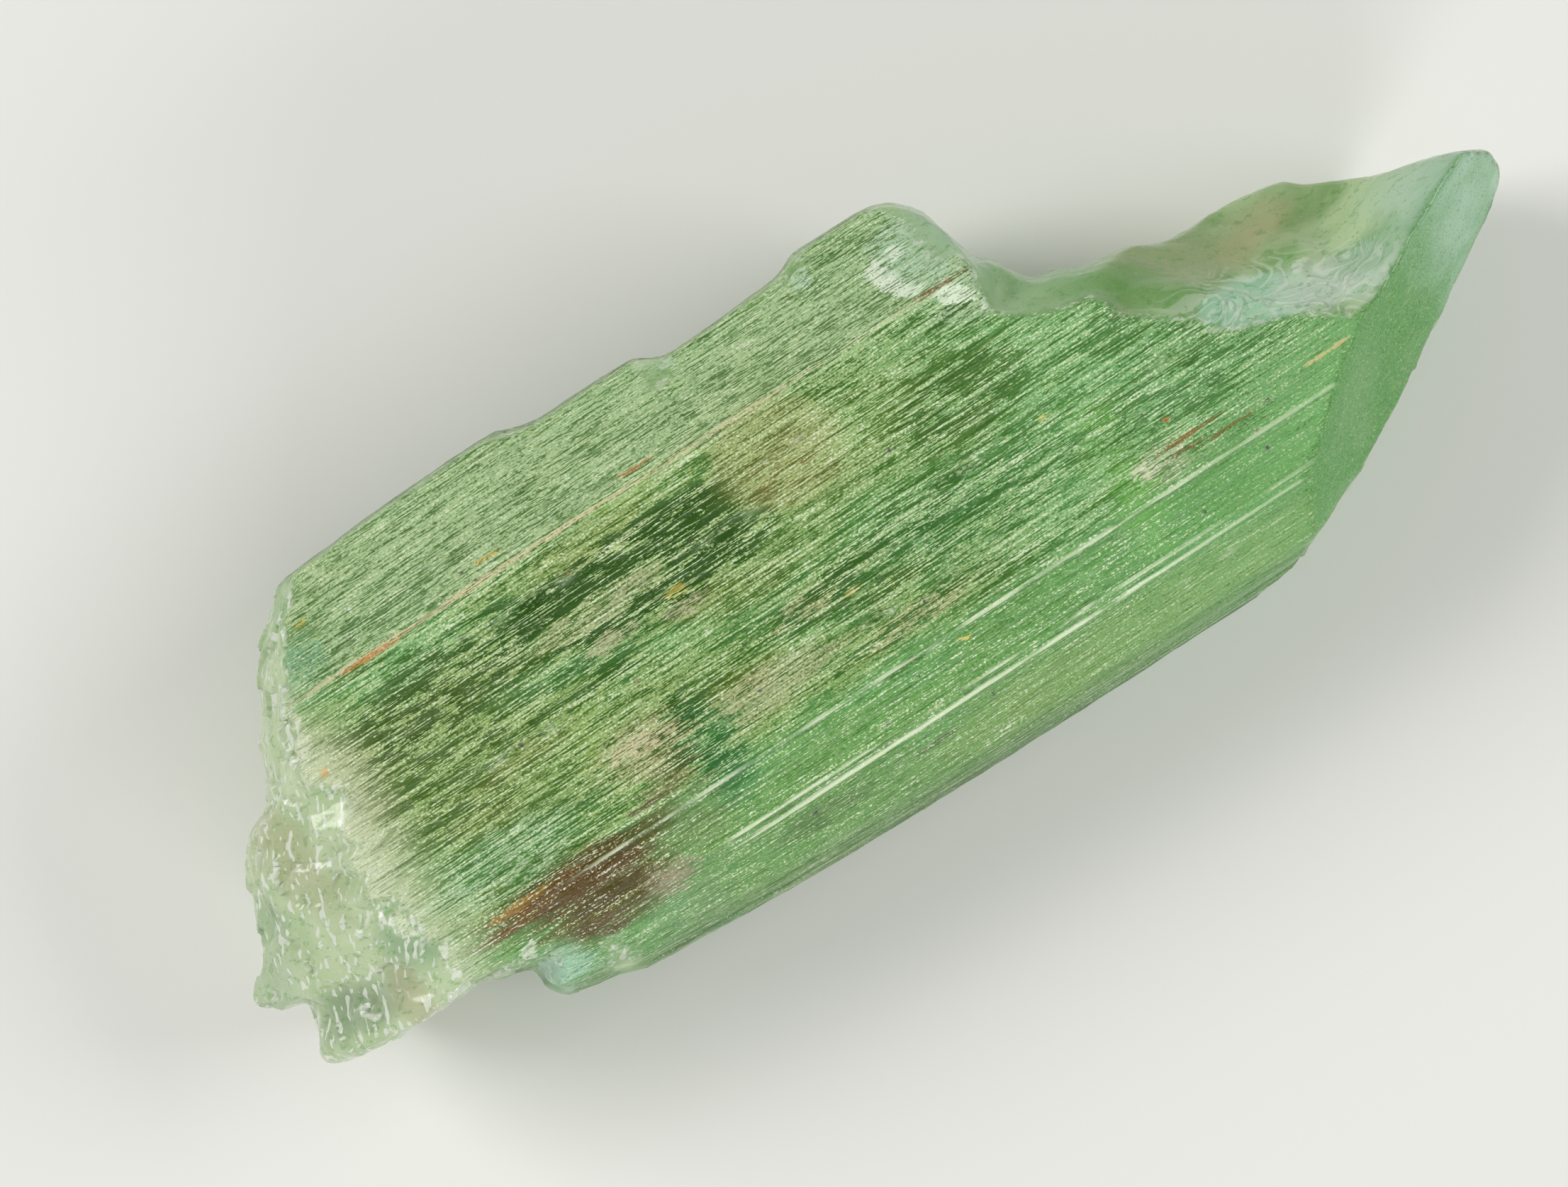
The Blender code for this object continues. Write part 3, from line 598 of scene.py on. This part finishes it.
# colours and masks that change slowly go on the mesh; the relief follows them
def reliefTree():
    tree = bpy.data.node_groups.new("crystalRelief", "GeometryNodeTree")
    weave = Weave(tree)
    face = tree.interface
    numbers = {"Window depth": "windowDepth", "Line depth": "lineDepth", "Break depth": "breakDepth",
               "Ridge height": "ridgeHeight", "Seed": "seed"}
    face.new_socket(name="Geometry", in_out="INPUT", socket_type="NodeSocketGeometry")
    for name in numbers:
        face.new_socket(name=name, in_out="INPUT", socket_type="NodeSocketFloat")
    face.new_socket(name="Finish", in_out="INPUT", socket_type="NodeSocketMaterial")
    face.new_socket(name="Geometry", in_out="OUTPUT", socket_type="NodeSocketGeometry")
    entry = tree.nodes.new("NodeGroupInput")
    given = {o.name: Wire(tree, o) for o in entry.outputs if o.name}
    position = weave.add("GeometryNodeInputPosition")
    place = weave.scaled(position, (1 / mm, 1 / mm, 1 / mm))
    x, y, z = weave.split(place)
    fresh = weave.add("GeometryNodeInputNamedAttribute", {"data_type": "FLOAT"}, {"Name": "fresh"})
    tip = weave.add("GeometryNodeInputNamedAttribute", {"data_type": "FLOAT"}, {"Name": "tipFace"})
    upper = z.rise(*zones["topLight"])
    upright = weave.split(weave.add("GeometryNodeInputNormal"))[2].rise(0.15, 0.60)
    side = y.rise(*zones["steppedSide"])

    crowd = z.rise(3.0, 1.2) * 0.3
    for spot in windows:
        crowd = crowd + patch(weave, place, spot[:6]) * upper * spot[6]
    drift = weave.noise(place, *grains["drift"])
    ragged = weave.noise(place, (1.7, 7.0, 7.0), weave.join(given["Seed"], 1.3, 9.2), 3.0, 0.62, 0.3)
    etch = (ragged - 0.5) * (crowd.rise(0.0, 0.8) * 0.5 + 0.40) + (drift - 0.5) * 0.20 - crowd * 0.10

    cloud = weave.noise(place, *grains["cloud"])
    cloudTwo = weave.noise(place, *grains["cloudTwo"])
    body = weave.mix(cloud.rise(0.40, 0.62), glow["midGreen"], glow["freshGreen"])
    body = weave.mix(cloudTwo.rise(0.52, 0.68) * 0.7, body, glow["olive"])
    body = weave.mix(cloudTwo.rise(0.46, 0.34) * 0.6, body, glow["deepGreen"])
    body = weave.mix(side * 0.65, body, glow["bandGreen"])
    body = weave.mix(y.rise(*zones["upperBand"]) * 0.7, body, glow["upperGreen"])
    window = weave.mix(x.rise(-1.0, 2.5), glow["windowGreen"], glow["windowGreenRight"])
    body = weave.mix(crowd.rise(0.10, 0.90), body, window)
    sway = weave.noise(place, *grains["sway"]) - 0.5
    sway = weave.join(sway * 2.4, sway * 0.28, 0.0)
    body = washOver(weave, body, bodyWashes, place, sway, upper * upright)
    veil = weave.mix(cloudTwo.rise(0.50, 0.66) * 0.7, glow["veil"], glow["veilTan"])
    cool = (cloud.rise(0.50, 0.66) * 0.6).most(x.rise(*zones["greenerSide"]) * 0.8)
    veil = weave.mix(cool, veil, glow["veilCool"])
    veil = weave.mix(y.rise(*zones["upperVeil"]) * 0.8, veil, glow["veilUpper"])
    veil = weave.mix(side * 0.6, veil, glow["veilBand"])
    veil = washOver(weave, veil, veilWashes, place, sway, upper * upright)
    soft = weave.noise(place, *grains["soft"])
    broken = weave.mix(soft.rise(0.38, 0.62), glow["brokenGreen"], glow["brokenPale"])
    broken = weave.mix(x.rise(-8.6, -10.2) * 0.6, broken, glow["basePale"])
    drawn = weave.join(soft - 0.5, soft - 0.5, 0.0)
    broken = washOver(weave, broken, breakWashes, place, drawn, upper.most(0.5))
    inward = x.rise(-9.4, -8.6) * x.rise(-4.0, -5.0) * y.rise(0.0, -1.5)
    broken = weave.mix(z.rise(3.8, 2.6) * inward * 0.75, broken, glow["bandGreen"])
    wall = x.rise(*zones["paleBase"]) * y.rise(3.4, 1.2)
    body = weave.mix(wall * 0.8, body, glow["wallBody"])
    veil = weave.mix(wall, veil, glow["wallVeil"])
    chisel = weave.mix(soft.rise(0.48, 0.66) * 0.35, glow["tipGreen"], glow["tipPale"])
    chisel = weave.mix(x.rise(10.0, 12.5) * (0.6 + soft.rise(0.40, 0.60) * 0.5), chisel, glow["tipFrost"])
    nearChisel = x.rise(*zones["chiselRise"]) * y.rise(-1.0, -2.4)
    body = weave.mix(nearChisel, body, glow["tipGreen"])
    veil = weave.mix(nearChisel, veil, glow["tipPale"])
    body = weave.mix(fresh, body, broken)
    body = weave.mix(tip, body, chisel)

    shell = weave.noise(place, *grains["shell"])
    facet = weave.shifted(weave.scaled(place, (1.0, 1.8, 1.8)), (1.0, 4.0, 2.0))
    middle = weave.add("ShaderNodeTexVoronoi", None, {"Vector": facet, "Scale": 1.0}, 2)
    lean = weave.add("ShaderNodeTexVoronoi", None, {"Vector": facet, "Scale": 1.0}, 1)
    away = weave.add("ShaderNodeVectorMath", {"operation": "SUBTRACT"}, {0: facet, 1: middle})
    chips = weave.dot(away, weave.shifted(lean, (-0.5, -0.5, -0.5)))
    rough = x.rise(-8.0, -9.5) + (fresh * (1.0 - fresh)) * 3.0
    shellyPatch = patch(weave, place, crystal["shelly"])
    swell = weave.noise(place, *grains["swell"])
    waves = (swell * 44.0).maths("SINE") * 0.42 * shellyPatch
    broken = ((shell - 0.5) * 1.8 + chips * 3.0 * rough + waves) * given["Break depth"]
    lines = weave.noise(place, *grains["lines"]) - 0.5
    sunk = etch.rise(0.04, -0.08) * given["Window depth"] * (1.0 - side * 0.6)
    sunk = sunk - lines * 2.0 * given["Line depth"]
    ridge = ridgeLines(weave, place, 0.08)
    rise = ridge * given["Ridge height"]
    calm = tip.most(quietWay(weave, place) * y.rise(-0.9, -1.7))
    offset = (rise - sunk) * (1.0 - fresh) * (1.0 - tip) + broken * fresh
    offset = offset + (shell - 0.5) * 0.02 * tip

    flow = given["Geometry"]
    for name, kind, value in (
        ("restPlace", "FLOAT_VECTOR", position), ("etch", "FLOAT", etch), ("crowd", "FLOAT", crowd),
        ("bodyColour", "FLOAT_COLOR", body), ("veilColour", "FLOAT_COLOR", veil), ("ridge", "FLOAT", ridge),
        ("calm", "FLOAT", calm), ("swell", "FLOAT", swell), ("shelly", "FLOAT", shellyPatch),
    ):
        flow = weave.add("GeometryNodeStoreNamedAttribute", {"data_type": kind, "domain": "POINT"},
                         {"Geometry": flow, "Name": name, "Value": value})
    normal = weave.add("GeometryNodeInputNormal")
    move = weave.add("ShaderNodeVectorMath", {"operation": "SCALE"}, {0: normal, "Scale": offset * mm})
    flow = weave.add("GeometryNodeSetPosition", None, {"Geometry": flow, "Offset": move})
    flow = weave.add("GeometryNodeRealizeInstances", None, {"Geometry": flow})
    flow = weave.add("GeometryNodeSetMaterial", None, {"Geometry": flow, "Material": given["Finish"]})
    leave = tree.nodes.new("NodeGroupOutput")
    tree.links.new(flow.socket, leave.inputs[0])
    return tree, numbers


# nothing stands outside the solid's box
def keepInside(mesh, box):
    points = np.clip(readPoints(mesh), np.array(box[0]), np.array(box[1]))
    mesh.vertices.foreach_set("co", points.astype(np.float32).ravel())
    mesh.update()


def makeCrystal(node, finish):
    mesh, nearest, normals = fineCopy(node)
    markSurfaces(mesh, nearest, normals)
    markSpots(mesh)
    piece = bpy.data.objects.new("crystal", mesh)
    bpy.context.scene.collection.objects.link(piece)
    tree, numbers = reliefTree()
    relief = piece.modifiers.new("relief", "NODES")
    relief.node_group = tree
    sockets = {item.name: item.identifier for item in tree.interface.items_tree if item.in_out == "INPUT"}
    for name, key in numbers.items():
        relief[sockets[name]] = float(crystal[key])
    relief[sockets["Finish"]] = finish
    done = bpy.data.meshes.new_from_object(piece.evaluated_get(bpy.context.evaluated_depsgraph_get()))
    piece.modifiers.clear()
    piece.data = done
    keepInside(done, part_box(node.name))
    done.shade_smooth()
    markCrests(done)
    triangles = sum(len(p.vertices) - 2 for p in done.polygons)
    print("crystal triangles:", triangles)
    if triangles > crystal["most"]:
        thin = piece.modifiers.new("thin", "DECIMATE")
        thin.ratio = crystal["most"] / triangles
        done = bpy.data.meshes.new_from_object(piece.evaluated_get(bpy.context.evaluated_depsgraph_get()))
        piece.modifiers.clear()
        piece.data = done
        keepInside(done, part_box(node.name))
        print("thinned to", sum(len(p.vertices) - 2 for p in done.polygons))
    return piece


def crystalFinish():
    material = bpy.data.materials.new("hiddenite")
    material.use_nodes = True
    tree = material.node_tree
    tree.nodes.clear()
    weave = Weave(tree)
    given = finishes
    place = weave.scaled(weave.add("ShaderNodeAttribute", {"attribute_name": "restPlace"}, None, 1),
                         (1 / mm, 1 / mm, 1 / mm))
    x, y, z = weave.split(place)
    masks = ("fresh", "tipFace", "crest", "etch", "crowd", "marked", "ridge", "calm", "swell", "shelly")
    fresh, tip, crest, etch, crowd, marked, ridge, calm, swell, shelly = (
        weave.add("ShaderNodeAttribute", {"attribute_name": name}, None, 2) for name in masks
    )
    body, veil, markColour = (
        weave.add("ShaderNodeAttribute", {"attribute_name": name})
        for name in ("bodyColour", "veilColour", "markColour")
    )
    prism = (1.0 - fresh) * (1.0 - tip)
    side = y.rise(*zones["steppedSide"])
    under = z.rise(*zones["lowerFaces"])
    quiet = (side * 0.60 + x.rise(1.0, 7.0) * 0.34 + y.rise(2.5, 2.9) * 0.22).most(calm * 0.90)
    quiet = quiet.most(under * 0.70).most(x.rise(-8.3, -9.8) * 0.90) * prism

    streak = weave.noise(place, *grains["streak"]) - 0.5
    hair = weave.noise(place, *grains["hair"]) - 0.5
    sugar = weave.noise(place, *grains["sugar"]) - 0.5
    straight = weave.noise(place, *grains["straight"]) - 0.5
    chip = weave.noise(place, *grains["chip"])
    level = etch * 1.1 + streak * 0.75 + hair * 0.3 + sugar * 0.2 + 0.035
    level = level + (calm * 0.2 - streak * calm * 0.6)
    etched = level.rise(-0.05, 0.04)
    contrast = 0.84 - side * 0.25 - calm * 0.25
    colour = weave.mix(etched * contrast * prism, body, veil)
    colour = weave.mix(quiet, colour, weave.mix(0.58, body, veil))
    spot = (marked + (chip - 0.5) * 2.0 + streak * 1.8 - 0.12).rise(0.0, 0.30)
    colour = weave.mix(spot * (0.55 + etched * 0.35) * prism, colour, markColour)
    fine = (hair * 0.9 + streak * 0.7 + sugar * 1.4 * (0.4 + etched * 0.6)) * (1.0 - quiet * 0.6) * prism
    fine = fine + straight * under * 0.9 * prism
    fine = fine + (sugar * 0.8 + (chip - 0.5) * 0.3) * tip.most(fresh * 0.5)
    pale = given["paleLines"] - spot * 0.45
    colour = weave.mix(fine.rise(0.02, 0.28) * pale, colour, glow["lightLine"])
    colour = weave.mix(fine.rise(-0.02, -0.28) * given["darkLines"], colour, glow["darkLine"])
    # painted highlight along the ridges
    ridge = ridge.rise(0.30, 0.95) * prism * (1.0 - calm * 0.5)
    colour = weave.mix(ridge * 0.92, colour, given["ridge"])
    # painted highlight on sharp prism edges, partly pale wear
    colour = weave.mix(crest.rise(0.15, 0.6) * prism * 0.5, colour, given["ridge"])
    # painted glints: tiny white sparkles on the etched ground
    paintedGlint = (sugar + hair * 0.5).rise(0.16, 0.22) * etched * prism * (1.0 - calm * 0.7)
    colour = weave.mix(paintedGlint * 0.6, colour, given["paintedGlint"])
    # painted glints on broken ground: slanting white dashes at the base, ripple lines on the shelly patch
    # and flecks along chipped rims
    slanting = weave.join(weave.dot(place, (0.5, 0.86, 0.0)), weave.dot(place, (-0.86, 0.5, 0.0)), z)
    dash = weave.noise(slanting, *grains["dash"])
    dashGlints = swell.rise(0.34, 0.44) * dash.rise(0.62, 0.65) * x.rise(-6.0, -8.0)
    glintPlaces = x.rise(-8.6, -9.6).most(z.rise(3.6, 4.4))
    waves = shelly * ((swell + (chip - 0.5) * 0.02) * 88.0).maths("SINE").rise(0.2, 1.0)
    rim = (fresh * (1.0 - fresh) * 4.0).rise(0.1, 0.8) * tip.rise(0.05, 0.0)
    broken = (waves * 0.45 + (dashGlints * 0.95 + rim * chip.rise(0.50, 0.60) * 0.6) * glintPlaces) * fresh
    colour = weave.mix(broken, colour, given["paintedGlint"])
    colour = weave.mix(chip.rise(0.44, 0.34) * 0.35 * fresh, colour, glow["tipGreen"])
    # painted glints on sharp edges of broken ground, partly pale wear
    colour = weave.mix(crest.rise(0.10, 0.5) * fresh * 0.8 * tip.rise(0.05, 0.0), colour, given["paintedGlint"])

    windowClear = given["windowClear"] + crowd.rise(0.0, 0.9) * given["windowClear"]
    clearness = prism * ((1.0 - etched) * windowClear).most(under * given["sideClear"])
    clearness = clearness + fresh * given["breakClear"] + tip * given["tipClear"]
    cover = (1.0 - clearness).most(ridge)
    sheen = etched * prism * (1.0 - (under * 0.7).most(side * 0.4))
    rough = given["windowRoughness"] + sheen * (given["groundRoughness"] - given["windowRoughness"])
    rough = rough + fresh * (given["brokenRoughness"] - given["windowRoughness"]) - paintedGlint * 0.2
    height = (streak * 1.6 + sugar * 0.6) * prism * (1.0 - quiet * 0.6)
    bump = weave.add("ShaderNodeBump", None,
                     {"Strength": 1.0, "Distance": given["hairDepth"] * mm, "Height": height})
    frosted = weave.add(
        "ShaderNodeBsdfPrincipled", None,
        {"Base Color": colour, "Roughness": rough, "IOR": given["lightRefraction"],
         "Specular IOR Level": given["groundShine"], "Normal": bump},
    )
    clear = weave.add(
        "ShaderNodeBsdfPrincipled", None,
        {"Base Color": given["glassTint"], "Roughness": given["glassRoughness"],
         "IOR": given["lightRefraction"], "Transmission Weight": 1.0, "Normal": bump},
    )
    both = weave.add("ShaderNodeMixShader", None, {0: cover, 1: clear, 2: frosted})
    inside = weave.add("ShaderNodeVolumeAbsorption", None,
                       {"Color": given["absorbed"], "Density": given["absorbedDensity"]})
    end = tree.nodes.new("ShaderNodeOutputMaterial")
    tree.links.new(both.socket, end.inputs["Surface"])
    tree.links.new(inside.socket, end.inputs["Volume"])
    return material


nodeName = "hiddenite_crystal"
piece = makeCrystal(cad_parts[nodeName], crystalFinish())
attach(piece, "root")
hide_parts(nodeName)
print("stage 2: crystal made")


studio = {
    "floor": (0.80, 0.80, 0.78, 1),
    "sky": (0.97, 0.97, 0.95, 1),
    "skyStrength": 0.30,
    "lens": 180.0,
    "frameWidth": 27.14,  # mm across the picture at the crystal's widest level
    "aim": (-1.39, -0.31, 2.7),
    "turn": -33.0,
    # place (mm), size (mm), watts, colour
    "lights": [
        ((-150, 170, 190), (150, 150), 0.52, (1.0, 0.985, 0.955)),
        ((190, -60, 160), (160, 110), 0.25, (1.0, 1.0, 0.98)),
        ((-60, -210, 110), (200, 60), 0.24, (1.0, 1.0, 0.98)),
    ],
}


def flatFloor():
    bm = bmesh.new()
    bmesh.ops.create_grid(bm, x_segments=1, y_segments=1, size=2.0)
    mesh = bpy.data.meshes.new("floor")
    bm.to_mesh(mesh)
    bm.free()
    floor = bpy.data.objects.new("floor", mesh)
    floor.location.z = -0.00002
    bpy.context.scene.collection.objects.link(floor)
    paper = bpy.data.materials.new("palePaper")
    paper.use_nodes = True
    shader = paper.node_tree.nodes["Principled BSDF"]
    shader.inputs["Base Color"].default_value = studio["floor"]
    shader.inputs["Roughness"].default_value = 0.9
    shader.inputs["Specular IOR Level"].default_value = 0.2
    mesh.materials.append(paper)


def softLights():
    world = bpy.data.worlds.new("studio")
    world.use_nodes = True
    back = world.node_tree.nodes["Background"]
    back.inputs[0].default_value = studio["sky"]
    back.inputs[1].default_value = studio["skyStrength"]
    bpy.context.scene.world = world
    for number, (place, size, watts, colour) in enumerate(studio["lights"]):
        lamp = bpy.data.lights.new(f"softbox{number + 1}", "AREA")
        lamp.shape = "RECTANGLE"
        lamp.size, lamp.size_y = size[0] * mm, size[1] * mm
        lamp.energy = watts
        lamp.color = colour
        holder = bpy.data.objects.new(lamp.name, lamp)
        holder.location = Vector(place) * mm
        holder.rotation_euler = (-Vector(place)).to_track_quat("-Z", "Y").to_euler()
        bpy.context.scene.collection.objects.link(holder)


def topCamera():
    camera = bpy.data.cameras.new("camera")
    camera.sensor_fit = "HORIZONTAL"
    camera.sensor_width = 36.0
    camera.lens = studio["lens"]
    camera.clip_start = 0.01
    camera.clip_end = 10.0
    holder = bpy.data.objects.new("camera", camera)
    bpy.context.scene.collection.objects.link(holder)
    away = studio["frameWidth"] * studio["lens"] / camera.sensor_width
    x, y, z = studio["aim"]
    holder.location = Vector((x, y, z + away)) * mm
    holder.rotation_euler = (0, 0, math.radians(studio["turn"]))
    bpy.context.scene.camera = holder


flatFloor()
softLights()
topCamera()
bpy.context.scene.view_settings.view_transform = "Standard"
print("stage 3: floor, light and camera")
